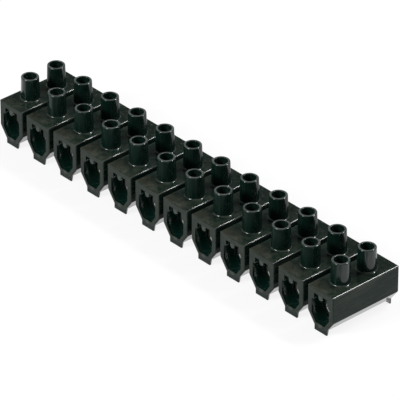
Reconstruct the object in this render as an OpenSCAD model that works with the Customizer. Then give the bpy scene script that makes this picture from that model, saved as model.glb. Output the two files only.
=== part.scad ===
// Terminal strip: a moulded row of blocks joined by webs, each block with two screw
// towers, a through channel with a metal clamping sleeve, and two clamp screws.
// Millimetres. X runs along the row, the photographed wire entries face -Y, Z is up.

/* [Row] */
// Number of poles in the row
poles = 12; // [2:1:12]
// Distance from one pole to the next
pitch = 12; // [11.6:0.1:14]
// Width of one block along the row
block_w = 10.2; // [9.8:0.1:10.6]
// Depth of a block from the front entry to the back entry
depth = 25; // [24:0.5:32]

/* [Block] */
// Height of a block from its underside to its top face
block_h = 12.1; // [11.8:0.1:14]
// Height of the upright part of the side walls
wall_h = 8.5; // [8.1:0.1:9]
// Width of the narrow underside
keel_w = 4.9; // [4.4:0.1:5.6]
// Rounding of the outer edges of a block
edge_r = 0.35; // [0.1:0.05:0.8]
// Rounding of the front and back edges of the tapers
taper_r = 0.48; // [0.12:0.06:0.96]

/* [Lips] */
// Height of the lips that the row stands on
lip_h = 1.6; // [1:0.1:3]
// Thickness of a lip at its root, along the depth
lip_t = 0.9; // [0.8:0.1:2.5]
// Thickness of a lip where it stands on the surface
lip_foot_t = 0.5; // [0.3:0.1:0.8]
// Distance that a lip is set back from the face of its block
lip_inset = 0.2; // [0:0.1:0.5]

/* [Towers] */
// Distance between the front and the back tower
tower_gap = 10; // [9:0.1:11]
// Height of a tower above the top face
tower_h = 7.15; // [6.5:0.05:10]
// Outer diameter of a tower just above the fillet at its foot
tower_foot_d = 5.7; // [5.5:0.1:6.4]
// Outer diameter of a tower at its rim
tower_rim_d = 5.35; // [5:0.05:5.6]
// Diameter of the screw shaft through a tower
tower_bore_d = 4; // [3.9:0.1:4.3]
// Rounding of the rim
rim_r = 0.25; // [0.1:0.05:0.3]
// Fillet where a tower meets the top face
foot_r = 0.45; // [0.2:0.05:0.8]

/* [Channel] */
// Thickness of the side walls of the channel
side_wall = 1.6; // [1.4:0.1:1.8]
// Thickness of the floor under the channel
floor_t = 1.1; // [0.8:0.1:1.3]
// Thickness of the roof over the channel
roof_t = 1.75; // [1.6:0.05:2.2]
// Width of the flat floor of the channel
floor_w = 3.5; // [3:0.1:3.7]
// Height at which the channel starts to narrow towards its floor, above the floor
haunch_h = 2.6; // [2.4:0.1:2.9]
// Height of the upright channel sides above the haunches
flank_h = 2.3; // [2.1:0.1:2.5]

/* [Entry] */
// Depth of the front wall that carries the teeth
entry_l = 4.5; // [3:0.1:4.5]
// Length of the middle tooth
tooth_l = 1.5; // [1.1:0.05:1.9]
// Width of the middle tooth near its tip
tooth_tip_w = 1.4; // [1.2:0.1:1.6]
// Width of the middle tooth at the roof
tooth_root_w = 2; // [1.7:0.1:2.3]
// Corners taken off the tip of the middle tooth
tooth_edge = 0.35; // [0.1:0.05:0.5]
// Width of the lugs in the upper corners
lug_w = 0.9; // [0.6:0.1:1.2]
// Length of the lugs below the roof
lug_l = 2.1; // [1.6:0.1:2.4]

/* [Webs] */
// Thickness of the webs between the blocks along the depth
web_t = 5.8; // [5:0.1:7]
// Distance from the top face down to the webs
web_drop = 4.2; // [2:0.1:6]
// Diameter of the fixing holes in the webs
fix_d = 3.4; // [3:0.1:3.6]

/* [Terminal] */
// Length of a clamping sleeve
sleeve_l = 15.7; // [15.2:0.1:16]
// Diameter of the wire bore
wire_d = 4.2; // [3.6:0.1:4.6]
// Height of the wire bore's axis above the channel floor
wire_h = 3.4; // [3.3:0.05:3.5]
// Chamfer round the mouths of the wire bore
mouth_w = 0.3; // [0.1:0.05:0.5]
// Width of the threaded boss on a sleeve
boss_w = 4.6; // [4.2:0.1:4.8]
// Clearance of a sleeve in its channel
sleeve_fit = 0.15; // [0.1:0.05:0.25]

/* [Screws] */
// Diameter of the screw's shank
screw_d = 3; // [2.6:0.1:3.2]
// Clearance of the shank in its thread, on the radius
thread_fit = 0.05; // [0.03:0.01:0.1]
// Length of the shank below the head
screw_l = 8.3; // [7.5:0.1:9]
// Height of the screw's head
head_h = 2; // [1.6:0.1:2.4]
// Clearance of the head in its tower, on the radius
head_fit = 0.15; // [0.1:0.05:0.25]
// Width of the screwdriver slot
slot_w = 0.8; // [0.5:0.1:1]
// Depth of the screwdriver slot
slot_t = 0.9; // [0.6:0.1:1.2]
// Chamfer at the tip and round the head
screw_edge = 0.3; // [0.1:0.05:0.4]

/* [Hidden] */
$fn = 48;
cut = 1;
row_l = (poles - 1) * pitch;
top_z = lip_h + block_h;
rim_z = top_z + tower_h;

// Channel: its half width and the levels of its corners
half_ch = block_w / 2 - side_wall;
floor_z = lip_h + floor_t;
haunch_z = floor_z + haunch_h;
flank_z = haunch_z + flank_h;
roof_z = top_z - roof_t;
boss_half = boss_w / 2 + sleeve_fit;
shoulder_z = flank_z + half_ch - boss_half;

// Entry: the depth of its wall, and the levels of its lugs and its tooth
wall_l = min(entry_l, (depth - sleeve_l) / 2 - sleeve_fit);
lug_z = roof_z - lug_l;
tooth_z = roof_z - tooth_l;

// Sleeve: the tube lies in the haunches, the boss stays under the roof
wire_z = floor_z + wire_h;
haunch_len = norm([half_ch - floor_w / 2, haunch_h]);
haunch_gap = (floor_w / 2 * haunch_h + wire_h * (half_ch - floor_w / 2)) / haunch_len;
tube_r = min(haunch_gap, half_ch, wire_h) - sleeve_fit;
boss_z = roof_z - sleeve_fit;
thread_r = screw_d / 2 + thread_fit;

// Screws: the tip of an open clamp is level with the top of the wire bore
tip_z = wire_z + wire_d / 2;
head_r = tower_bore_d / 2 - head_fit;

colour_housing = [0.16, 0.17, 0.16];
colour_metal = [0.72, 0.73, 0.72];
colour_screw = [0.62, 0.63, 0.62];

function two_digits(i) = str(i < 10 ? "0" : "", i);
function pole_x(i) = (i - 1) * pitch - row_l / 2;
function block_name(i) = str("block_", two_digits(i));
function web_name(i) = str("web_", two_digits(i));
function terminal_name(i) = str("terminal_", two_digits(i));
function screw_name(i, side) = str("screw_", two_digits(i), side < 0 ? "_front" : "_back");

// A flat outline in X and Z, drawn out along Y from y0 to y1
module along_depth(y0, y1) {
    translate([0, y1, 0]) rotate([90, 0, 0]) linear_extrude(y1 - y0) children();
}

// A rectangle with all four corners rounded, centred on the origin
module rounded_rect(w, h, r) {
    square([w - 2 * r, h], center = true);
    square([w, h - 2 * r], center = true);
    for (x = [-1, 1], y = [-1, 1]) translate([x * (w / 2 - r), y * (h / 2 - r)]) circle(r);
}

// Section of a block across the row, before its tapers are cut: upright walls, rounded top edges
module block_outline() {
    side = block_w / 2;
    polygon([
        [-side, lip_h], [side, lip_h], [side, top_z - edge_r], [side - edge_r, top_z],
        [-side + edge_r, top_z], [-side, top_z - edge_r]
    ]);
    for (s = [-1, 1]) translate([s * (side - edge_r), top_z - edge_r]) circle(edge_r);
}

// A bar along X that stands on the plane z = 0, with its four long edges rounded
module rounded_bar(r) {
    rotate([90, 0, 90]) linear_extrude(4 * block_h, center = true)
        translate([0, 2 * block_h]) rounded_rect(depth, 4 * block_h, r);
}

// Body of a block: its section drawn out along the depth, tapered below, with the edges of both faces rounded
module block_body() {
    slope = atan2(block_h - wall_h, (block_w - keel_w) / 2);
    intersection() {
        along_depth(-depth / 2, depth / 2) block_outline();
        linear_extrude(top_z) rounded_rect(block_w, depth, edge_r);
        translate([0, 0, top_z]) rotate([0, 180, 0]) rounded_bar(edge_r);
        translate([keel_w / 2, 0, lip_h]) rotate([0, -slope, 0]) rounded_bar(taper_r);
        translate([-keel_w / 2, 0, lip_h]) rotate([0, slope, 0]) rounded_bar(taper_r);
    }
}

// Section of the channel that holds the sleeve
module channel_outline() {
    polygon([
        [-floor_w / 2, floor_z], [floor_w / 2, floor_z],
        [half_ch, haunch_z], [half_ch, flank_z], [boss_half, shoulder_z], [boss_half, roof_z],
        [-boss_half, roof_z], [-boss_half, shoulder_z], [-half_ch, flank_z], [-half_ch, haunch_z]
    ]);
}

// Opening in the front wall: the channel's lower part, with a lug in each upper corner and a tooth between them
module entry_outline() {
    polygon([
        [-floor_w / 2, floor_z], [floor_w / 2, floor_z], [half_ch, haunch_z],
        [half_ch, lug_z], [half_ch - lug_w, lug_z], [half_ch - lug_w, roof_z],
        [tooth_root_w / 2, roof_z], [tooth_tip_w / 2, tooth_z + tooth_edge],
        [tooth_tip_w / 2 - tooth_edge, tooth_z], [-tooth_tip_w / 2 + tooth_edge, tooth_z],
        [-tooth_tip_w / 2, tooth_z + tooth_edge], [-tooth_root_w / 2, roof_z],
        [-half_ch + lug_w, roof_z], [-half_ch + lug_w, lug_z], [-half_ch, lug_z], [-half_ch, haunch_z]
    ]);
}

// Section of a tower: tapered tube, rounded rim, filleted foot
module tower_outline() {
    foot = tower_foot_d / 2;
    rim = tower_rim_d / 2;
    difference() {
        union() {
            polygon([
                [0, -cut], [foot, -cut], [foot, foot_r], [rim, tower_h - rim_r], [rim - rim_r, tower_h], [0, tower_h]
            ]);
            translate([rim - rim_r, tower_h - rim_r]) circle(rim_r);
            square([foot + foot_r, foot_r]);
        }
        translate([foot + foot_r, foot_r]) circle(foot_r);
    }
}

module tower() {
    rotate_extrude() tower_outline();
}

// Lip under the front or the back face: set back a little, thinner towards its foot
module lip(side) {
    face = depth / 2 - lip_inset;
    root = lip_h + floor_t / 2;
    scale([1, side, 1]) rotate([90, 0, 90]) linear_extrude(keel_w, center = true)
        polygon([[face, 0], [face, root], [face - lip_t, root], [face - lip_t, lip_h], [face - lip_foot_t, 0]]);
}

// The outside of one block with its lips and towers, before anything is cut
module block_outside() {
    block_body();
    for (s = [-1, 1]) {
        lip(s);
        translate([0, s * tower_gap / 2, top_z]) tower();
    }
}

// Fixing hole in the gap between two blocks
module fixing_hole() {
    cylinder(d = fix_d, h = rim_z);
}

// One block of the moulding, hollowed for its sleeve and screws
module block(i) {
    color(colour_housing) translate([pole_x(i), 0, 0]) difference() {
        block_outside();
        along_depth(-depth / 2 + wall_l, depth / 2 + cut) channel_outline();
        along_depth(-depth / 2 - cut, -depth / 2 + wall_l + cut) entry_outline();
        for (s = [-1, 1]) translate([0, s * tower_gap / 2, roof_z - cut])
            cylinder(d = tower_bore_d, h = rim_z - roof_z + 2 * cut);
        if (i > 1) translate([-pitch / 2, 0, 0]) fixing_hole();
        if (i < poles) translate([pitch / 2, 0, 0]) fixing_hole();
    }
}

// Section of a web: it fills the gap between two blocks, down to their tapered undersides
module web_outline() {
    gap = (pitch - block_w) / 2;
    foot = (pitch - keel_w) / 2;
    polygon([
        [-foot, lip_h], [foot, lip_h], [gap, top_z - wall_h], [gap, top_z - web_drop],
        [-gap, top_z - web_drop], [-gap, top_z - wall_h]
    ]);
}

// Web that joins block i to the next one, with a fixing hole through it
module web(i) {
    color(colour_housing) translate([pole_x(i) + pitch / 2, 0, 0]) difference() {
        along_depth(-web_t / 2, web_t / 2) web_outline();
        fixing_hole();
    }
}

// Clamping sleeve: a tube with a threaded boss and chamfered mouths
module terminal(i) {
    color(colour_metal) translate([pole_x(i), 0, 0]) difference() {
        along_depth(-sleeve_l / 2, sleeve_l / 2) union() {
            translate([0, wire_z]) circle(tube_r);
            translate([-boss_w / 2, wire_z]) square([boss_w, boss_z - wire_z]);
        }
        along_depth(-sleeve_l / 2 - cut, sleeve_l / 2 + cut)
            translate([0, wire_z]) circle(wire_d / 2);
        for (s = [-1, 1]) {
            translate([0, s * (sleeve_l / 2 + cut), wire_z]) rotate([s * 90, 0, 0])
                cylinder(r1 = wire_d / 2 + mouth_w + cut, r2 = wire_d / 2, h = mouth_w + cut);
            translate([0, s * tower_gap / 2, wire_z]) cylinder(r = thread_r, h = boss_z - wire_z + cut);
        }
    }
}

// Clamp screw with a slotted cylinder head
module screw(i, side) {
    shank = screw_d / 2;
    color(colour_screw) translate([pole_x(i), side * tower_gap / 2, tip_z]) difference() {
        rotate_extrude() polygon([
            [0, 0], [shank - screw_edge, 0], [shank, screw_edge], [shank, screw_l], [head_r, screw_l],
            [head_r, screw_l + head_h - screw_edge], [head_r - screw_edge, screw_l + head_h], [0, screw_l + head_h]
        ]);
        translate([-head_r - cut, -slot_w / 2, screw_l + head_h - slot_t])
            cube([2 * (head_r + cut), slot_w, slot_t + cut]);
    }
}

for (i = [1 : poles]) block(i);
for (i = [1 : poles - 1]) web(i);
for (i = [1 : poles]) terminal(i);
for (i = [1 : poles], side = [-1, 1]) screw(i, side);
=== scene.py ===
"""Looks of a moulded terminal strip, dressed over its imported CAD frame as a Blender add-on."""
import math
from collections import namedtuple
from functools import reduce
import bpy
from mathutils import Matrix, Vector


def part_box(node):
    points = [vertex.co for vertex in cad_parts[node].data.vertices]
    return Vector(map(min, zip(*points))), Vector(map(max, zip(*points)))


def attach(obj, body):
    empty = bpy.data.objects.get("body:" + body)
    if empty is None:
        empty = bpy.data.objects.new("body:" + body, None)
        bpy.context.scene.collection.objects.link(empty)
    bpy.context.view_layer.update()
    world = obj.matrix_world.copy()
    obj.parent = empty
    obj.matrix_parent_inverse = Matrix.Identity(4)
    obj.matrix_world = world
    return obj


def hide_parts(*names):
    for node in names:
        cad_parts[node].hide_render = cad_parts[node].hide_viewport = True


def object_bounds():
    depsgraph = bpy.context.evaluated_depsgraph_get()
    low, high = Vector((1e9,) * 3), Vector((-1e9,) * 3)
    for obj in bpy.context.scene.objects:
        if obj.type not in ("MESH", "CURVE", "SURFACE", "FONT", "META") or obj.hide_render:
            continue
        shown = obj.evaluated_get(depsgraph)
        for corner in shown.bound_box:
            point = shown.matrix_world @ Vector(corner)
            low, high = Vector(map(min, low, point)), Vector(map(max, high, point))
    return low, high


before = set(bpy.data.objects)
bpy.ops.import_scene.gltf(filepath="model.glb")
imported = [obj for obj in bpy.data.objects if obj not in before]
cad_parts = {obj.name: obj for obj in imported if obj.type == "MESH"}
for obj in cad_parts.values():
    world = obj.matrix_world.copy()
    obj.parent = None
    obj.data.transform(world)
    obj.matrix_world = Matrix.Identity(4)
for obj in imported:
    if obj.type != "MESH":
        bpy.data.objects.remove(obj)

from types import SimpleNamespace

import bmesh
import bpy
import numpy as np
from bpy.props import FloatProperty, FloatVectorProperty, IntProperty, PointerProperty
from mathutils import Matrix, Quaternion, Vector

bl_info = {
    "name": "Terminal strip",
    "version": (1, 0, 0),
    "blender": (4, 5, 0),
    "location": "View3D > Sidebar > Terminal strip",
    "description": "Builds the moulded blocks, sleeves and clamp screws of a terminal strip",
    "category": "Add Mesh",
}

CAD_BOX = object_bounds()
MM = 0.001


# Pieces and places that the frame gives

def nodes_of(kind):
    """Names of the CAD nodes of one kind, in order."""
    return sorted(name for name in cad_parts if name.startswith(kind + "_"))


def middle(node):
    """Middle of a CAD node's box."""
    return np.mean(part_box(node), axis=0)


BLOCKS = nodes_of("block")
WEBS = nodes_of("web")
SLEEVES = nodes_of("terminal")
SCREWS = nodes_of("screw")

# The row of poles and the two rows of towers, the reach of a block's walls and faces, and the rims' height
FIRST_POLE = middle(BLOCKS[0])[0]
PITCH = middle(BLOCKS[1])[0] - FIRST_POLE
LAST_STEP = len(BLOCKS) - 1
BACK_ROW, FRONT_ROW = (middle(node)[1] for node in SCREWS[:2])
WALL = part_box(BLOCKS[0])[1][0] - FIRST_POLE
FACE = CAD_BOX[1][1]
RIM = CAD_BOX[1][2]

# Sizes of a block that its box doesn't give; the keel is its narrow underside
TOWER_HEIGHT = 7.15 * MM
ROOF_THICKNESS = 1.75 * MM
WALL_HEIGHT = 8.5 * MM
KEEL = 1.6 * MM
KEEL_WIDTH = 4.9 * MM

# Levels of a block, and the run of its tapered sides over their rise
TOP = RIM - TOWER_HEIGHT
ROOF = TOP - ROOF_THICKNESS
TAPER = TOP - WALL_HEIGHT
TAPER_RUN = (WALL - KEEL_WIDTH / 2) / (TAPER - KEEL)

# Angles and distances for the work on meshes
SHARP = math.radians(33)
SCREW_SHARP = math.radians(40)
FLAT = math.radians(0.4)
JOIN = 0.002 * MM
SCREW_JOIN = 0.0008 * MM
ON_PLANE = 0.001 * MM

# Points of a screw's surfaces, the turn from one screw's slot to the next, and the shank's hidden end
ROWS_PER_THREAD = 8
RIM_POINTS = 13
CHORD_POINTS = 19
SLOT_TURN = 2.399963
SHANK_LAP = 0.05 * MM

# Share of a sleeve's half length past which its edges are rounded
SLEEVE_ENDS = 0.9


class StripSizes(bpy.types.PropertyGroup):
    """Small sizes of the finished pieces."""

    edge_round: FloatProperty(
        name="Moulded edge", description="Rounding of the sharp edges of the moulding",
        default=0.06 * MM, min=0, unit="LENGTH")
    metal_edge: FloatProperty(
        name="Sleeve edge", description="Rounding of the edges of a sleeve",
        default=0.1 * MM, min=0, unit="LENGTH")
    shank_radius: FloatProperty(
        name="Shank radius", description="Radius of the screw thread at its crest",
        default=1.5 * MM, min=0.5 * MM, unit="LENGTH")
    thread_pitch: FloatProperty(
        name="Thread pitch", description="Distance from one turn of the screw thread to the next",
        default=0.5 * MM, min=0.2 * MM, unit="LENGTH")
    thread_depth: FloatProperty(
        name="Thread depth", description="Depth of the screw thread below its crest",
        default=0.27 * MM, min=0, unit="LENGTH")
    head_height: FloatProperty(
        name="Head height", description="Height of the screw head",
        default=2.0 * MM, min=1 * MM, unit="LENGTH")
    slot_width: FloatProperty(
        name="Slot width", description="Width of the screwdriver slot",
        default=0.8 * MM, min=0.3 * MM, unit="LENGTH")
    slot_depth: FloatProperty(
        name="Slot depth", description="Depth of the screwdriver slot",
        default=0.9 * MM, min=0.3 * MM, unit="LENGTH")
    slot_lead: FloatProperty(
        name="Slot edge", description="Chamfer along the edges of the screwdriver slot",
        default=0.06 * MM, min=0.01 * MM, unit="LENGTH")
    head_edge: FloatProperty(
        name="Head edge", description="Chamfer round the top of the screw head; the tip has half of it",
        default=0.3 * MM, min=0, unit="LENGTH")
    screw_sides: IntProperty(
        name="Screw sides", description="Points round one turn of the thread",
        default=24, min=12, max=48)


class StripFinishes(bpy.types.PropertyGroup):
    """Colours and gloss of the finishes."""

    plastic: FloatVectorProperty(
        name="Plastic", description="Colour of the black moulding",
        default=(0.0025, 0.0105, 0.0078), size=3, min=0, max=1, subtype="COLOR")
    # Painted shade tint: a greener copy of the plastic colour, used only inside the wire entries where shade
    # falls; it is the same plastic
    plastic_shade_tint: FloatVectorProperty(
        name="Plastic, inside", description="Colour of the bare plastic inside the wire entries",
        default=(0.0022, 0.0165, 0.0118), size=3, min=0, max=1, subtype="COLOR")
    # Also the colour of a painted warm sheen on the entry faces, besides dust, scratches and clouds
    plastic_dusty_and_sheen: FloatVectorProperty(
        name="Plastic, dusty", description="Colour of the moulding where it is scratched or dusty",
        default=(0.040, 0.043, 0.032), size=3, min=0, max=1, subtype="COLOR")
    # Also the colour of painted highlights on the rims, top edges, teeth, tower feet and backs of the tops,
    # besides rubbing
    plastic_rubbed_and_highlight: FloatVectorProperty(
        name="Plastic, rubbed", description="Colour of the moulding where handling has whitened it",
        default=(0.115, 0.125, 0.118), size=3, min=0, max=1, subtype="COLOR")
    plastic_roughness: FloatProperty(
        name="Plastic roughness", description="Mean roughness of the moulding",
        default=0.15, min=0, max=1, subtype="FACTOR")
    plastic_gloss: FloatProperty(
        name="Plastic gloss", description="Strength of the mirror-like reflection under the gloss layer",
        default=0.04, min=0, max=1, subtype="FACTOR")
    plating: FloatVectorProperty(
        name="Plating", description="Colour of the nickel plating on the sleeves",
        default=(0.62, 0.62, 0.60), size=3, min=0, max=1, subtype="COLOR")
    plating_dull: FloatVectorProperty(
        name="Plating, dull", description="Colour of the plating where it has dulled",
        default=(0.30, 0.30, 0.29), size=3, min=0, max=1, subtype="COLOR")
    zinc: FloatVectorProperty(
        name="Zinc", description="Colour of the zinc plating on the screws",
        default=(0.60, 0.62, 0.64), size=3, min=0, max=1, subtype="COLOR")
    zinc_dull: FloatVectorProperty(
        name="Zinc, dull", description="Colour of the zinc where it has dulled",
        default=(0.40, 0.42, 0.44), size=3, min=0, max=1, subtype="COLOR")


class StripStage(bpy.types.PropertyGroup):
    """Floor, light and camera."""

    azimuth: FloatProperty(
        name="Azimuth", description="Camera's turn about the strip",
        default=math.radians(48.1485), subtype="ANGLE")
    elevation: FloatProperty(
        name="Elevation", description="Camera's height above the horizon",
        default=math.radians(32.2692), subtype="ANGLE")
    roll: FloatProperty(
        name="Roll", description="Camera's turn about its own axis",
        default=math.radians(-0.0751), subtype="ANGLE")
    distance: FloatProperty(
        name="Distance", description="Camera's distance from the point it looks at",
        default=1.3538, min=0.1, unit="LENGTH")
    target: FloatVectorProperty(
        name="Target", description="Point that the camera looks at",
        default=(-0.003079, 0.005107, 0.003399), size=3, subtype="TRANSLATION")
    lens: FloatProperty(
        name="Lens", description="Focal length in millimetres on a 36 mm sensor",
        default=425.5, min=1, unit="CAMERA")
    floor: FloatVectorProperty(
        name="Floor", description="Colour of the floor",
        default=(0.92, 0.92, 0.915), size=3, min=0, max=1, subtype="COLOR")
    floor_white: FloatProperty(
        name="Floor white", description="Share of plain white in the floor where it is seen or mirrored",
        default=0.86, min=0, max=1, subtype="FACTOR")
    floor_reach: FloatProperty(
        name="Floor reach", description="Distance from the strip to the edges of the floor",
        default=6.0, min=1, unit="LENGTH")
    lamp_distance: FloatProperty(
        name="Lamp distance", description="Distance of the soft lamps from the strip",
        default=0.95, min=0.3, unit="LENGTH")
    sky: FloatVectorProperty(
        name="Room", description="Colour of the plain room round the strip",
        default=(0.20, 0.225, 0.215), size=3, min=0, max=1, subtype="COLOR")


# Meshes

def grid_faces(rows, columns):
    """Quads of a grid that closes on itself along its columns.

    Point (r, c) has index r * columns + c, and each quad takes points c and c + 1 of rows r and r + 1."""
    r, c = np.meshgrid(np.arange(rows - 1), np.arange(columns), indexing="ij")
    right = (c + 1) % columns
    low = r * columns
    high = low + columns
    return np.stack([low + c, low + right, high + right, high + c], axis=-1).reshape(-1, 4)


def thread_surface(radius, depth, pitch, length, chamfer, sides):
    """Shank with a helical thread, from its tip at height 0 up to its length.

    At angle a and height z the radius is the crest's radius less the depth times a triangle wave of
    z / pitch - a / turn, cut flat at its crest and root, and never more than a cone that starts at the tip
    with the chamfer taken off the root. Both ends close at the axis."""
    flat = 0.125
    rows = int(length / pitch * ROWS_PER_THREAD) + 1
    heights = np.linspace(0, length, rows)
    angles = np.linspace(0, 2 * np.pi, sides, endpoint=False)
    z, a = np.meshgrid(heights, angles, indexing="ij")
    phase = (z / pitch - a / (2 * np.pi)) % 1
    wave = np.clip((1 + 2 * flat) * np.abs(2 * phase - 1) - flat, 0, 1)
    r = np.minimum(radius - depth * wave, radius - depth - chamfer + z)
    body = np.stack([r * np.cos(a), r * np.sin(a), z], axis=-1)
    ends = np.zeros((2, sides, 3))
    ends[1, :, 2] = length
    points = np.concatenate([ends[:1], body, ends[1:]])
    return points.reshape(-1, 3), grid_faces(rows + 2, sides)


def slotted_head(radius, height, slot_width, slot_depth, lead, chamfer, base):
    """Slotted cylinder head that stands on height base.

    A profile runs across the slot, over the rim, down to the slot's floor and up again. Each of its points
    is carried along the slot as far as the circle's chord there, and back along the underside, so that the
    grid is a closed ring. The top falls away at 45 degrees within one chamfer of the rim."""
    half = slot_width / 2
    side = radius * np.cos(np.linspace(0, np.arccos((half + lead) / radius), RIM_POINTS))
    floor = [-half, -half / 2, 0, half / 2, half]
    across = np.concatenate([-side, [-half], floor, [half], side[::-1]])
    level = np.full(len(across), height)
    level[RIM_POINTS:-RIM_POINTS] = height - slot_depth
    level[[RIM_POINTS, -RIM_POINTS - 1]] = height - lead
    chord = np.sqrt(np.maximum(radius ** 2 - across ** 2, 0))
    x = np.outer(chord, np.sin(np.linspace(-np.pi / 2, np.pi / 2, CHORD_POINTS)))
    y = np.repeat(across[:, None], CHORD_POINTS, axis=1)
    past = np.maximum(np.sqrt(x ** 2 + y ** 2) - (radius - chamfer), 0)
    z = np.minimum(level[:, None], height - past)
    upper = np.stack([x, y, z + base], axis=-1)
    lower = np.stack([x[:, ::-1], y, np.full_like(z, base)], axis=-1)
    ring = np.concatenate([upper, lower], axis=1)
    return ring.reshape(-1, 3), grid_faces(*ring.shape[:2])


def screw_surface(sizes, head_radius, length):
    """Whole screw on the upright axis: its threaded shank from the tip up, with its head on top."""
    neck = length - sizes.head_height
    shank, shank_faces = thread_surface(sizes.shank_radius, sizes.thread_depth, sizes.thread_pitch,
                                        neck + SHANK_LAP, sizes.head_edge / 2, sizes.screw_sides)
    head, head_faces = slotted_head(head_radius, sizes.head_height, sizes.slot_width, sizes.slot_depth,
                                    sizes.slot_lead, sizes.head_edge, neck)
    return np.concatenate([shank, head]), np.concatenate([shank_faces, head_faces + len(shank)])


def turned(points, angle):
    """Points turned about the upright axis."""
    c = math.cos(angle)
    s = math.sin(angle)
    return points @ np.array([[c, s, 0], [-s, c, 0], [0, 0, 1]])


def close_mesh(mesh, distance):
    """Merges points that lie together and turns all faces outwards."""
    bm = bmesh.new()
    bm.from_mesh(mesh)
    bmesh.ops.remove_doubles(bm, verts=bm.verts, dist=distance)
    bmesh.ops.dissolve_degenerate(bm, edges=bm.edges, dist=distance)
    bmesh.ops.recalc_face_normals(bm, faces=bm.faces)
    bm.to_mesh(mesh)
    bm.free()


def shade_smooth(mesh):
    """Shades a mesh smoothly all over."""
    mesh.polygons.foreach_set("use_smooth", np.ones(len(mesh.polygons), dtype=bool))


def add_turning_map(mesh, axis, radius):
    """UV map round a screw's axis: the angle as a share of a turn, the reach as a share of the radius."""
    points = np.empty(len(mesh.vertices) * 3)
    mesh.vertices.foreach_get("co", points)
    x, y, _ = (points.reshape(-1, 3) - axis).T
    corner = np.empty(len(mesh.loops), dtype=np.int32)
    mesh.loops.foreach_get("vertex_index", corner)
    turn = np.arctan2(y, x) / (2 * np.pi) + 0.5
    reach = np.hypot(x, y) / radius
    layer = mesh.uv_layers.new(name="turning")
    layer.data.foreach_set("uv", np.stack([turn[corner], reach[corner]], axis=-1).ravel())


def cut_in_half(bm, place):
    """Cuts a mesh along the upright plane across the row at a place, and marks the cut as a seam."""
    geometry = bm.verts[:] + bm.edges[:] + bm.faces[:]
    cut = bmesh.ops.bisect_plane(bm, geom=geometry, dist=ON_PLANE,
                                 plane_co=(place, 0, 0), plane_no=(1, 0, 0))
    for item in cut["geom_cut"]:
        if isinstance(item, bmesh.types.BMEdge):
            item.seam = True


def weigh_edges(bm, ends):
    """Gives a weight of one to the sharp outward edges that lie at least as far out as the ends."""
    weight = bm.edges.layers.float.new("bevel_weight_edge")
    for edge in bm.edges:
        sharp = edge.is_convex and edge.calc_face_angle(0.0) > SHARP
        edge[weight] = float(sharp and all(abs(corner.co.y) >= ends for corner in edge.verts))


def merged_copy(node, name, ends=0.0):
    """Copy of a CAD node's mesh with its loose triangles joined and its flat faces made whole.

    The mesh is first cut in half, so that a flat face round an opening becomes two faces with a plain
    outline. The edges to be rounded, which lie before or behind the ends, get a weight."""
    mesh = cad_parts[node].data.copy()
    mesh.name = name
    bm = bmesh.new()
    bm.from_mesh(mesh)
    bmesh.ops.remove_doubles(bm, verts=bm.verts, dist=JOIN)
    cut_in_half(bm, middle(node)[0])
    bmesh.ops.dissolve_limit(bm, angle_limit=FLAT, verts=bm.verts, edges=bm.edges, delimit={"SEAM"})
    weigh_edges(bm, ends)
    bm.to_mesh(mesh)
    bm.free()
    shade_smooth(mesh)
    return mesh


def add_object(name, data):
    """Puts new data into the scene as an object."""
    item = bpy.data.objects.new(name, data)
    bpy.context.scene.collection.objects.link(item)
    return item


def add_piece(name, mesh, material, body, slot, *nodes):
    """Puts a finished mesh into the scene as a piece that rides on a body and stands for CAD nodes."""
    piece = add_object(name, mesh)
    mesh.materials.clear()
    mesh.materials.append(material)
    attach(piece, body)
    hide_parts(*nodes)
    return piece


def round_edges(piece, width):
    """Rounds the edges that have a weight and keeps flat faces flat."""
    bevel = piece.modifiers.new("edges", "BEVEL")
    bevel.width = width
    bevel.segments = 2
    bevel.limit_method = "WEIGHT"
    bevel.use_clamp_overlap = False
    bevel.miter_outer = "MITER_ARC"
    normals = piece.modifiers.new("normals", "WEIGHTED_NORMAL")
    normals.mode = "FACE_AREA_WITH_ANGLE"
    normals.keep_sharp = False


# Shader nodes

Noise = namedtuple("Noise", "scale detail roughness distortion stretch", defaults=(0.5, 0.0, (1, 1, 1)))
Band = namedtuple("Band", "measure low high start end", defaults=(0.0, 1.0))

SHEET_COLUMNS = 12
SHEET_STEP = Vector((200, -320))
NOISE_MIDDLE = 0.5


def add_node(tree, kind, **settings):
    """Adds a node, set out in rows on the sheet as they come, and sets its options."""
    row, column = divmod(len(tree.nodes), SHEET_COLUMNS)
    node = tree.nodes.new(kind)
    node.location = SHEET_STEP * Vector((column, row))
    for key, value in settings.items():
        setattr(node, key, value)
    return node


def put(tree, socket, value):
    """Links an output to a socket, or sets the socket to a plain number, vector or colour."""
    if isinstance(value, bpy.types.NodeSocket):
        tree.links.new(value, socket)
    elif socket.type == "RGBA":
        socket.default_value = (*value, 1)
    else:
        socket.default_value = value


def put_all(tree, node, values):
    """Links or sets several of a node's inputs by their names."""
    for key, value in values.items():
        put(tree, node.inputs[key], value)


def calc(tree, operation, *values, clamp=False):
    """Adds a calculation on one or two values, each a number or an output."""
    node = add_node(tree, "ShaderNodeMath", operation=operation, use_clamp=clamp)
    for socket, value in zip(node.inputs, values):
        put(tree, socket, value)
    return node.outputs[0]


def times(tree, *values):
    """Multiplies values, from the first to the last."""
    return reduce(lambda first, second: calc(tree, "MULTIPLY", first, second), values)


def total(tree, *values, clamp=False):
    """Adds values up, from the first to the last, and can hold the sum between 0 and 1."""
    *early, last = values
    rest = reduce(lambda first, second: calc(tree, "ADD", first, second), early)
    return calc(tree, "ADD", rest, last, clamp=clamp)


def ramp(tree, value, low, high, start=0.0, end=1.0):
    """Adds a map from the range low to high onto start to end, held at both."""
    node = add_node(tree, "ShaderNodeMapRange", clamp=True)
    put_all(tree, node, {"Value": value, "From Min": low, "From Max": high, "To Min": start, "To Max": end})
    return node.outputs["Result"]


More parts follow.
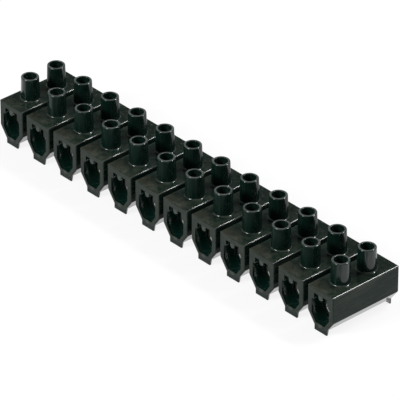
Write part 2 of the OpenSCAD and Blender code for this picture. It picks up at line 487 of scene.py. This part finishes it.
def mix(tree, kind, factor, first, second):
    """Adds a mix of two values or colours, each fixed or an output."""
    node = add_node(tree, "ShaderNodeMix", data_type=kind)
    put_all(tree, node, {"Factor": factor, "A": first, "B": second})
    return node.outputs["Result"]


def add_noise(tree, vector, noise):
    """Adds a noise texture over a vector that is scaled along each axis."""
    mapping = add_node(tree, "ShaderNodeMapping")
    put_all(tree, mapping, {"Vector": vector, "Scale": noise.stretch})
    node = add_node(tree, "ShaderNodeTexNoise")
    put_all(tree, node, {"Vector": mapping.outputs["Vector"], "Scale": noise.scale, "Detail": noise.detail})
    put_all(tree, node, {"Roughness": noise.roughness, "Distortion": noise.distortion})
    return node.outputs["Fac"]


def add_bump(tree, height, distance, strength):
    """Adds a bump of a real height in metres."""
    node = add_node(tree, "ShaderNodeBump")
    put_all(tree, node, {"Height": height, "Distance": distance, "Strength": strength})
    return node.outputs["Normal"]


def object_coordinates(tree):
    """Position in the strip's own frame."""
    return add_node(tree, "ShaderNodeTexCoord").outputs["Object"]


def empty_material(name):
    """New material with an empty sheet of nodes."""
    material = bpy.data.materials.new(name)
    material.use_nodes = True
    material.node_tree.nodes.clear()
    return material, material.node_tree


def finish_named(name, lay_nodes):
    """Material of a finish. Its nodes are laid by their own function when it is first asked for."""
    material = bpy.data.materials.get(name)
    if material:
        return material
    material, tree = empty_material(name)
    shader = add_node(tree, "ShaderNodeBsdfPrincipled")
    out = add_node(tree, "ShaderNodeOutputMaterial")
    put(tree, out.inputs["Surface"], shader.outputs["BSDF"])
    lay_nodes(tree, shader.inputs, bpy.context.scene.strip_finishes)
    return material


# Marks that all the finishes share

SCRATCH_WIDTH = 0.006
SCRATCH_ROUGHNESS = 0.18
SCRATCH_HEIGHT = -0.4
SCRATCHED_CLOUDS = (0.5, 0.62)


def marks_group():
    """Empty node group of the shared marks, with its named inputs and outputs."""
    tree = bpy.data.node_groups.new("surface_marks", "ShaderNodeTree")
    tree.interface.new_socket(name="Vector", in_out="INPUT", socket_type="NodeSocketVector")
    for name in ("Grain", "Cloud", "Scratches", "Roughness", "Spread"):
        tree.interface.new_socket(name=name, in_out="INPUT", socket_type="NodeSocketFloat")
    for name in ("Roughness", "Clouds", "Scratches", "Height"):
        tree.interface.new_socket(name=name, in_out="OUTPUT", socket_type="NodeSocketFloat")
    return tree


def surface_marks():
    """Node group of the small marks that all the finishes share.

    Fine grain and broad cloudiness move the roughness, thin bent lines are scratches where a noise passes
    its middle value, and the height carries the grain and the scratches."""
    tree = bpy.data.node_groups.get("surface_marks")
    if tree:
        return tree
    tree = marks_group()
    given = add_node(tree, "NodeGroupInput").outputs
    out = add_node(tree, "NodeGroupOutput").inputs
    fine = add_noise(tree, given["Vector"], Noise(given["Grain"], 3.0))
    broad = add_noise(tree, given["Vector"], Noise(given["Cloud"], 4.0, 0.6))
    bent = add_noise(tree, given["Vector"], Noise(given["Cloud"], 1.0, distortion=1.2))

    away = calc(tree, "ABSOLUTE", calc(tree, "SUBTRACT", bent, NOISE_MIDDLE))
    line = ramp(tree, away, 0.0, SCRATCH_WIDTH, 1.0, 0.0)
    scratch = times(tree, line, ramp(tree, broad, *SCRATCHED_CLOUDS), given["Scratches"])
    grain = calc(tree, "SUBTRACT", fine, NOISE_MIDDLE)
    cloud = calc(tree, "SUBTRACT", broad, NOISE_MIDDLE)
    moved = times(tree, total(tree, grain, cloud), given["Spread"])
    dull = times(tree, scratch, SCRATCH_ROUGHNESS)
    cut = times(tree, scratch, SCRATCH_HEIGHT)

    put(tree, out["Roughness"], total(tree, moved, given["Roughness"], dull, clamp=True))
    put(tree, out["Clouds"], broad)
    put(tree, out["Scratches"], scratch)
    put(tree, out["Height"], total(tree, fine, cut))
    return tree


def place_marks(tree, vector, **values):
    """Places the shared marks in a material with its own values."""
    marks = add_node(tree, "ShaderNodeGroup", node_tree=surface_marks())
    put_all(tree, marks, {"Vector": vector, **values})
    return marks.outputs


# Moulding: where its looks change, and how strongly its marks show

MOULDING_NOISES = {
    "upright": Noise(1500.0, 3.0, 0.6, stretch=(1, 1, 0.04)),
    "level": Noise(1100.0, 3.0, 0.6, stretch=(0.06, 0.06, 1)),
    "waves": Noise(260.0, 1.0),
    "patches": Noise(520.0, 5.0, 0.62, 0.6),
    "broad": Noise(95.0, 3.0),
    "dots": Noise(1300.0, 3.0, 0.6),
}

# Each mask follows a measure from a low to a high place, from 0 to 1 or between the two values given
MOULDING_MASKS = {
    "tower": Band("height", TOP + 0.05 * MM, TOP + 0.5 * MM),
    "near_top": Band("height", TOP - 0.2 * MM, TOP - 0.04 * MM),
    "under_top": Band("height", TOP - 0.45 * MM, TOP - 0.3 * MM),
    "foot_low": Band("height", TOP, TOP + 0.1 * MM),
    "foot_high": Band("height", TOP + 0.25 * MM, TOP + 0.45 * MM, 1.0, 0.0),
    "rim": Band("height", RIM - 0.35 * MM, RIM - 0.11 * MM),
    "rim_crest": Band("height", RIM - 0.1 * MM, RIM - 0.01 * MM),
    "tooth_height": Band("height", ROOF + 0.25 * MM, ROOF - 0.35 * MM),
    "under_roof": Band("height", ROOF + 0.25 * MM, ROOF - 0.05 * MM),
    "over_keel": Band("height", KEEL + 0.4 * MM, KEEL + 0.7 * MM),
    "taper_height": Band("height", TAPER, TAPER - 0.3 * MM),
    "entry_face": Band("depth", FACE - 0.14 * MM, FACE - 0.03 * MM),
    "within_faces": Band("depth", FACE - 0.2 * MM, FACE - 0.5 * MM),
    "taper_depth": Band("depth", FACE - 0.45 * MM, FACE - 0.3 * MM, 1.0, 0.0),
    "side_face": Band("aside", WALL - 0.12 * MM, WALL - 0.02 * MM),
    "wall_edge": Band("aside", WALL - 0.4 * MM, WALL - 0.25 * MM),
    "within_walls": Band("aside", WALL - 0.7 * MM, WALL - 1.0 * MM),
    "tooth_width": Band("aside", 0.5 * MM, 0.9 * MM, 0.22, 0.0),
    "within_tapers": Band("outward", 0.9 * MM, 0.6 * MM),
    "taper_skin": Band("outward", 0.8 * MM, 1.1 * MM),
    "toward_left": Band("off_pole", 3.0 * MM, -3.5 * MM, 0.15, 1.0),
    "left_side": Band("off_pole", 1.2 * MM, 0.6 * MM),
    "right_side": Band("off_pole", 2.1 * MM, 2.5 * MM),
    "last_side": Band("off_pole", 0.7 * MM, 1.6 * MM),
    "tower_front": Band("off_tower", 0.2 * MM, 0.8 * MM, 1.0, 0.15),
    "front": Band("forward", 8.0 * MM, 11.5 * MM),
    "back": Band("forward", -7.0 * MM, -10.5 * MM),
    "front_row": Band("forward", -1.0 * MM, 1.0 * MM, 0.1, 1.0),
    "first_poles": Band("steps", 1.8, 0.6),
    "dusty_poles": Band("steps", 0.0, 3.0, 0.4, 1.0),
    "last_pole": Band("steps", LAST_STEP - 0.7, LAST_STEP - 0.3),
    "dusty_top": Band("patches", 0.36, 0.7),
    "dusty_front": Band("patches", 0.25, 0.6, 0.6, 1.5),
    # Patches on the entry faces: partly dust, partly a painted warm sheen
    "dusty_entry": Band("patches", 0.2, 0.7, 0.15, 0.8),
    # Patches round the towers' feet: partly dust, partly painted glint arcs
    "dusty_foot": Band("patches", 0.35, 0.7, 0.0, 0.3),
    "broad_lines": Band("broad", 0.38, 0.6, 0.25, 1.0),
    "level_lines": Band("level", 0.42, 0.62),
    "combed": Band("upright", 0.52, 0.74, 0.0, 0.25),
    "streaky": Band("upright", 0.4, 0.62, 0.1, 1.0),
    "specks": Band("dots", 0.6, 0.7, 0.0, 0.7),
    "cloudy": Band("clouds", 0.5, 0.8, 0.0, 0.12),
    # Patches on the rim crests: partly rubbed, partly a painted highlight ring
    "worn": Band("clouds", 0.35, 0.65, 0.25, 0.65),
}

SCRATCH_TONE = 0.35
# Greying by dust, and by the painted warm sheen on the entry faces
DUST_AND_SHEEN_TONE = 0.5
# Whitening of the top edges: partly rubbing, partly a painted highlight line
EDGE_RUB_AND_HIGHLIGHT = 0.2
DUST_ROUGHNESS = 0.16
TOWER_ROUGHNESS = 0.1
STREAK_ROUGHNESS = 0.1
BLOCK_GLOSS = 0.27
EDGE_GLOSS = 0.6
BURNISHED_GLOSS = 0.7
GRAIN_HEIGHT = 0.04
WAVE_HEIGHT = 2.0
BLOCK_STREAKS = 0.7
TOWER_STREAKS = 2.2
HALF_STEP = 0.5


def off_nearest(tree, steps, step):
    """Distance from the nearest whole step, before it or past it."""
    share = calc(tree, "FRACT", calc(tree, "ADD", steps, HALF_STEP))
    return times(tree, calc(tree, "SUBTRACT", share, HALF_STEP), step)


def steps_from(tree, value, first, step):
    """Number of steps from the first of a row of places."""
    return calc(tree, "DIVIDE", calc(tree, "SUBTRACT", value, first), step)


def strip_measures(tree, place):
    """Measures of a point on the strip, each an output: steps along the row, and the others in metres.

    Outward is the distance aside from the pole less the run of the tapered sides up to the point's height,
    so it is the same all over a tapered side."""
    parts = add_node(tree, "ShaderNodeSeparateXYZ")
    put(tree, parts.inputs["Vector"], place)
    x, y, height = parts.outputs
    row_gap = BACK_ROW - FRONT_ROW
    steps = steps_from(tree, x, FIRST_POLE, PITCH)
    off_pole = off_nearest(tree, steps, PITCH)
    aside = calc(tree, "ABSOLUTE", off_pole)
    return {
        "height": height,
        "steps": steps,
        "off_pole": off_pole,
        "aside": aside,
        "outward": calc(tree, "SUBTRACT", aside, times(tree, height, TAPER_RUN)),
        "forward": times(tree, y, -1.0),
        "depth": calc(tree, "ABSOLUTE", y),
        "off_tower": off_nearest(tree, steps_from(tree, y, FRONT_ROW, row_gap), row_gap),
    }


def moulding_masks(tree, measures):
    """Masks of the moulding, and of the parts of a block that more than one of them bounds."""
    bands = MOULDING_MASKS.items()
    mask = SimpleNamespace(**{name: ramp(tree, measures[band.measure], *band[1:]) for name, band in bands})
    mask.top_face = calc(tree, "SUBTRACT", mask.near_top, mask.tower, clamp=True)
    mask.tower_side = calc(tree, "SUBTRACT", mask.tower, mask.rim, clamp=True)
    mask.foot = times(tree, mask.foot_low, mask.foot_high)
    mask.top_edge = times(tree, mask.wall_edge, mask.under_top)
    # Painted highlight on the front face of the middle tooth
    mask.tooth = times(tree, mask.tooth_width, mask.entry_face, mask.tooth_height)
    mask.taper = times(tree, mask.taper_height, mask.taper_depth, mask.taper_skin)
    mask.inside = times(tree, mask.within_faces, mask.under_roof, mask.within_walls, mask.over_keel,
                        mask.within_tapers)
    return mask


def moulding_dust_and_sheen(tree, mask):
    """Dusty patches on the top faces, patches round the wire entries that are partly dusty and partly a
    painted warm sheen standing in for warm light on the entry faces, and pale flow lines on the side faces.
    """
    tops = times(tree, mask.dusty_top, mask.top_face)
    # Partly dusty, partly a painted warm sheen on the entry faces
    entries = times(tree, mask.dusty_entry, mask.entry_face)
    lines = times(tree, mask.broad_lines, mask.level_lines, mask.side_face)
    return total(tree, tops, entries, lines, clamp=True)


def moulding_tone(tree, mask, dust_and_sheen, scratches):
    """How far clouds, combed towers, scratches, dusty patches with a painted warm sheen on the entry faces,
    and a film on the tops' front left grey the plastic.
    """
    combed = times(tree, mask.combed, mask.tower_side)
    scratched = times(tree, scratches, SCRATCH_TONE)
    # Dusty patches, with the painted warm sheen on the entry faces
    dusty = times(tree, dust_and_sheen, DUST_AND_SHEEN_TONE)
    film = times(tree, mask.front, mask.toward_left, mask.dusty_front, mask.top_face, mask.dusty_poles)
    return total(tree, mask.cloudy, combed, scratched, dusty, film, clamp=True)


def moulding_rubs_and_highlights(tree, mask):
    """How far the rims, top edges, teeth, feet of the towers and backs of the tops are whitened: the rims,
    top edges and backs of the tops partly by handling and partly as painted highlights, the feet with
    patches that are partly dusty and partly painted glints, and the teeth as a painted highlight.
    """
    rims = times(tree, mask.rim_crest, mask.worn)
    scuffs_and_highlights = times(tree, mask.specks, mask.back, mask.top_face)
    feet = times(tree, mask.foot, mask.dusty_foot)
    edges = times(tree, mask.top_edge, EDGE_RUB_AND_HIGHLIGHT)
    return total(tree, rims, scuffs_and_highlights, feet, edges, mask.tooth, clamp=True)


def moulding_roughness(tree, mask, marked, dust_and_sheen, streaks):
    """The marks' roughness, more under dust and on the sides of the towers, and uneven along the streaks."""
    dusty = times(tree, dust_and_sheen, DUST_ROUGHNESS)
    towers = times(tree, mask.tower_side, TOWER_ROUGHNESS)
    uneven = times(tree, calc(tree, "SUBTRACT", streaks, NOISE_MIDDLE), STREAK_ROUGHNESS)
    return total(tree, marked, dusty, towers, uneven, clamp=True)


def moulding_gloss(tree, mask):
    """Weight of the gloss layer.

    It is thin on the blocks, thicker on their top edges and tapers and on the rims and feet of the towers,
    and missing on the sides of the towers, apart from polished places on the right and at the row's ends."""
    blocks = ramp(tree, mask.tower_side, 0.0, 1.0, BLOCK_GLOSS, 0.0)
    edges = times(tree, mask.top_edge, EDGE_GLOSS)
    burnished = times(tree, total(tree, mask.foot, edges, mask.rim, mask.taper), BURNISHED_GLOSS)
    right = times(tree, mask.right_side, mask.tower_front)
    left = times(tree, mask.left_side, mask.first_poles, mask.front_row)
    last = times(tree, mask.last_side, mask.last_pole, mask.streaky)
    polished = times(tree, total(tree, right, left, last), mask.tower_side)
    return total(tree, blocks, burnished, polished, clamp=True)


def moulding_height(tree, mask, grain, streaks, waves):
    """Height of the fine marks, of the streaks, which are deeper on the towers, and of slow waves."""
    fine = times(tree, grain, GRAIN_HEIGHT)
    deep = ramp(tree, mask.tower_side, 0.0, 1.0, BLOCK_STREAKS, TOWER_STREAKS)
    slow = times(tree, waves, WAVE_HEIGHT)
    return total(tree, fine, times(tree, streaks, deep), slow)


def moulding_nodes(tree, sockets, finish):
    """Glossy black moulding.

    Upright streaks on the towers, level flow lines on the blocks, slow waves, fine grain and scratches,
    dusty patches with a painted warm sheen on the entry faces, rims, edges and tower feet whitened partly by
    rubbing and partly as painted highlights, a painted highlight on the teeth, and a painted shade tint
    inside the wire entries."""
    place = object_coordinates(tree)
    marks = place_marks(tree, place, Grain=3000.0, Cloud=330.0, Scratches=0.6,
                        Roughness=finish.plastic_roughness, Spread=0.1)
    noises = {name: add_noise(tree, place, noise) for name, noise in MOULDING_NOISES.items()}
    mask = moulding_masks(tree, {**strip_measures(tree, place), **noises, "clouds": marks["Clouds"]})
    streaks = mix(tree, "FLOAT", mask.tower, noises["level"], noises["upright"])
    dust_and_sheen = moulding_dust_and_sheen(tree, mask)

    # Painted shade tint: inside the wire entries the plastic takes a greener copy of its colour, standing in
    # for the tint of the shade there
    shade_tinted = mix(tree, "RGBA", mask.inside, finish.plastic, finish.plastic_shade_tint)
    tone = moulding_tone(tree, mask, dust_and_sheen, marks["Scratches"])
    # The greying includes a painted warm sheen on the entry faces
    greyed = mix(tree, "RGBA", tone, shade_tinted, finish.plastic_dusty_and_sheen)
    # Whitening that is partly rubbing and partly painted highlights on the rims, top edges, teeth, tower
    # feet and backs of the tops
    whitened = mix(tree, "RGBA", moulding_rubs_and_highlights(tree, mask), greyed, finish.plastic_rubbed_and_highlight)
    height = moulding_height(tree, mask, marks["Height"], streaks, noises["waves"])
    put(tree, sockets["Base Color"], whitened)
    put(tree, sockets["Roughness"], moulding_roughness(tree, mask, marks["Roughness"], dust_and_sheen, streaks))
    put(tree, sockets["Coat Weight"], moulding_gloss(tree, mask))
    put(tree, sockets["Normal"], add_bump(tree, height, distance=0.02 * MM, strength=0.6))
    put(tree, sockets["IOR"], 1.5)
    put(tree, sockets["Specular IOR Level"], finish.plastic_gloss)
    put(tree, sockets["Coat Roughness"], 0.12)


# Metals

DRAWN_LINES = Noise(7000.0, 2.0, 0.55, stretch=(1, 0.04, 1))
TURNED_RINGS = Noise(26.0, 2.0, 0.55, stretch=(0, 1, 1))
RING_HEIGHT = 2.0
DULL_CLOUDS = (0.42, 0.7)


def metal_nodes(tree, sockets, marks, lines, bright, dull):
    """Plated metal: bright with dull clouds, and a bump of its marks and of the lines left by its making."""
    clouds = ramp(tree, marks["Clouds"], *DULL_CLOUDS)
    height = total(tree, marks["Height"], lines)
    put(tree, sockets["Base Color"], mix(tree, "RGBA", clouds, bright, dull))
    put(tree, sockets["Roughness"], marks["Roughness"])
    put(tree, sockets["Normal"], add_bump(tree, height, distance=0.006 * MM, strength=0.5))
    put(tree, sockets["Metallic"], 1.0)


def plating_nodes(tree, sockets, finish):
    """Nickel plating on the sleeves: lines drawn along the sleeve, dull clouds and a few scratches."""
    place = object_coordinates(tree)
    marks = place_marks(tree, place, Grain=2600.0, Cloud=320.0, Scratches=0.5, Roughness=0.3, Spread=0.16)
    drawn = add_noise(tree, place, DRAWN_LINES)
    metal_nodes(tree, sockets, marks, drawn, finish.plating, finish.plating_dull)


def zinc_nodes(tree, sockets, finish):
    """Zinc on the screws: rings turned into the head, dull clouds and scratches."""
    place = object_coordinates(tree)
    marks = place_marks(tree, place, Grain=3000.0, Cloud=500.0, Scratches=0.7, Roughness=0.3, Spread=0.18)
    turning = add_node(tree, "ShaderNodeUVMap", uv_map="turning").outputs["UV"]
    rings = times(tree, add_noise(tree, turning, TURNED_RINGS), RING_HEIGHT)
    metal_nodes(tree, sockets, marks, rings, finish.zinc, finish.zinc_dull)


# Floor, light and camera

def floor_material(stage):
    """White floor: a matt surface that takes the shadow, brightened where it is seen or mirrored."""
    material, tree = empty_material("white_floor")
    matt = add_node(tree, "ShaderNodeBsdfDiffuse")
    put(tree, matt.inputs["Color"], stage.floor)
    glow = add_node(tree, "ShaderNodeEmission")
    path = add_node(tree, "ShaderNodeLightPath").outputs
    seen = total(tree, path["Is Camera Ray"], path["Is Glossy Ray"], path["Is Transmission Ray"], clamp=True)
    both = add_node(tree, "ShaderNodeMixShader")
    out = add_node(tree, "ShaderNodeOutputMaterial")
    put(tree, both.inputs["Fac"], times(tree, seen, stage.floor_white))
    put(tree, both.inputs[1], matt.outputs["BSDF"])
    put(tree, both.inputs[2], glow.outputs["Emission"])
    put(tree, out.inputs["Surface"], both.outputs["Shader"])
    return material


def add_floor(stage):
    """Adds the square floor that the strip stands on."""
    reach = stage.floor_reach
    corners = [(-reach, -reach, 0), (reach, -reach, 0), (reach, reach, 0), (-reach, reach, 0)]
    mesh = bpy.data.meshes.new("floor")
    mesh.from_pydata(corners, [], [(0, 1, 2, 3)])
    mesh.materials.append(floor_material(stage))
    floor = add_object("floor", mesh)


def add_room(stage):
    """Adds the plain room as the world."""
    world = bpy.data.worlds.new("plain_room")
    world.use_nodes = True
    bpy.context.scene.world = world
    room = world.node_tree.nodes["Background"]
    put(world.node_tree, room.inputs["Color"], stage.sky)
    put(world.node_tree, room.inputs["Strength"], 1.0)


def add_softbox(name, distance, toward, along, size, radiance):
    """Adds an area light of a set brightness that faces the strip, its length along a direction."""
    lamp = bpy.data.lights.new(name, "AREA")
    lamp.shape = "RECTANGLE"
    lamp.size = size[0]
    lamp.size_y = size[1]
    lamp.energy = radiance * math.pi * size[0] * size[1]
    box = add_object(name, lamp)
    back = Vector(toward).normalized()
    side = (Vector(along) - back * back.dot(Vector(along))).normalized()
    box.location = back * distance
    box.rotation_euler = Matrix((side, back.cross(side), back)).transposed().to_euler()


def add_camera(stage):
    """Adds the camera at its turn, height and distance from the point that it looks at."""
    lens = bpy.data.cameras.new("camera")
    lens.lens = stage.lens
    lens.sensor_width = 36.0
    lens.clip_end = 50.0
    level = math.cos(stage.elevation)
    across = math.sin(stage.azimuth) * level
    forward = math.cos(stage.azimuth) * level
    toward = Vector((across, -forward, math.sin(stage.elevation)))
    aim = (-toward).to_track_quat("-Z", "Y") @ Quaternion((0, 0, 1), stage.roll)
    camera = add_object("camera", lens)
    camera.location = Vector(stage.target) + toward * stage.distance
    camera.rotation_euler = aim.to_euler()
    bpy.context.scene.camera = camera


# Operators

class STRIP_OT_blocks(bpy.types.Operator):
    """Dress the moulded blocks with rounded edges and glossy black plastic"""

    bl_idname = "strip.blocks"
    bl_label = "Moulded blocks"

    def execute(self, context):
        plastic = finish_named("glossy_moulding", moulding_nodes)
        for node in BLOCKS:
            mesh = merged_copy(node, node + "_moulding")
            piece = add_piece(mesh.name, mesh, plastic, "strip", "black_plastic", node)
            round_edges(piece, context.scene.strip_sizes.edge_round)
        return {"FINISHED"}


class STRIP_OT_webs(bpy.types.Operator):
    """Dress the webs between the blocks"""

    bl_idname = "strip.webs"
    bl_label = "Webs"

    def execute(self, context):
        plastic = finish_named("glossy_moulding", moulding_nodes)
        for node in WEBS:
            mesh = merged_copy(node, node + "_moulding")
            mesh.set_sharp_from_angle(angle=SHARP)
            add_piece(mesh.name, mesh, plastic, "strip", "black_plastic", node)
        return {"FINISHED"}


class STRIP_OT_sleeves(bpy.types.Operator):
    """Dress the clamping sleeves with rounded edges and nickel plating"""

    bl_idname = "strip.sleeves"
    bl_label = "Clamping sleeves"

    def execute(self, context):
        plating = finish_named("nickel_plating", plating_nodes)
        for node in SLEEVES:
            half_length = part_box(node)[1][1]
            mesh = merged_copy(node, node + "_sleeve", ends=SLEEVE_ENDS * half_length)
            piece = add_piece(mesh.name, mesh, plating, "strip", "plated_brass", node)
            round_edges(piece, context.scene.strip_sizes.metal_edge)
        return {"FINISHED"}


class STRIP_OT_screws(bpy.types.Operator):
    """Build the clamp screws with their threads and slotted heads"""

    bl_idname = "strip.screws"
    bl_label = "Clamp screws"

    def execute(self, context):
        zinc = finish_named("zinc_plating", zinc_nodes)
        low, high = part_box(SCREWS[0])
        head_radius = (high[0] - low[0]) / 2
        points, faces = screw_surface(context.scene.strip_sizes, head_radius, high[2] - low[2])
        for count, node in enumerate(SCREWS):
            tip = middle(node)
            tip[2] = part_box(node)[0][2]
            mesh = bpy.data.meshes.new(node + "_screw")
            mesh.from_pydata((turned(points, count * SLOT_TURN) + tip).tolist(), [], faces.tolist())
            close_mesh(mesh, SCREW_JOIN)
            shade_smooth(mesh)
            mesh.set_sharp_from_angle(angle=SCREW_SHARP)
            add_turning_map(mesh, tip, head_radius)
            add_piece(mesh.name, mesh, zinc, node, "zinc_steel", node)
        return {"FINISHED"}


class STRIP_OT_stage(bpy.types.Operator):
    """Set the floor, the soft light and the camera"""

    bl_idname = "strip.stage"
    bl_label = "Floor, light and camera"

    def execute(self, context):
        stage = context.scene.strip_stage
        add_floor(stage)
        add_room(stage)
        add_softbox("softbox_back", stage.lamp_distance, toward=(0.325, 0.565, 0.758),
                    along=(0.92, 0, -0.39), size=(0.50, 0.12), radiance=38.0)
        add_softbox("softbox_front", stage.lamp_distance, toward=(-0.15, -0.77, 0.56),
                    along=(1, 0, 0), size=(0.34, 0.26), radiance=28.0)
        add_camera(stage)
        context.scene.view_settings.view_transform = "Standard"
        return {"FINISHED"}


class STRIP_PT_panel(bpy.types.Panel):
    """Lists the pieces of the strip and their settings in the sidebar"""

    bl_idname = "STRIP_PT_panel"
    bl_label = "Terminal strip"
    bl_space_type = "VIEW_3D"
    bl_region_type = "UI"
    bl_category = "Terminal strip"

    def draw(self, context):
        layout = self.layout
        for operator in OPERATORS:
            layout.operator(operator.bl_idname)
        for name, group in GROUPS.items():
            for key in group.__annotations__:
                layout.prop(getattr(context.scene, name), key)


GROUPS = {"strip_sizes": StripSizes, "strip_finishes": StripFinishes, "strip_stage": StripStage}
OPERATORS = (STRIP_OT_blocks, STRIP_OT_webs, STRIP_OT_sleeves, STRIP_OT_screws, STRIP_OT_stage)
CLASSES = (*GROUPS.values(), *OPERATORS, STRIP_PT_panel)


def register():
    """Registers the classes and hangs the property groups on the scene."""
    for item in CLASSES:
        bpy.utils.register_class(item)
    for name, group in GROUPS.items():
        setattr(bpy.types.Scene, name, PointerProperty(type=group))


def unregister():
    """Takes the property groups and the classes away again."""
    for name in GROUPS:
        delattr(bpy.types.Scene, name)
    for item in reversed(CLASSES):
        bpy.utils.unregister_class(item)


def main():
    """Builds all the pieces in order."""
    register()
    bpy.ops.strip.blocks()
    bpy.ops.strip.webs()
    bpy.ops.strip.sleeves()
    bpy.ops.strip.screws()
    bpy.ops.strip.stage()


if __name__ == "__main__":
    main()
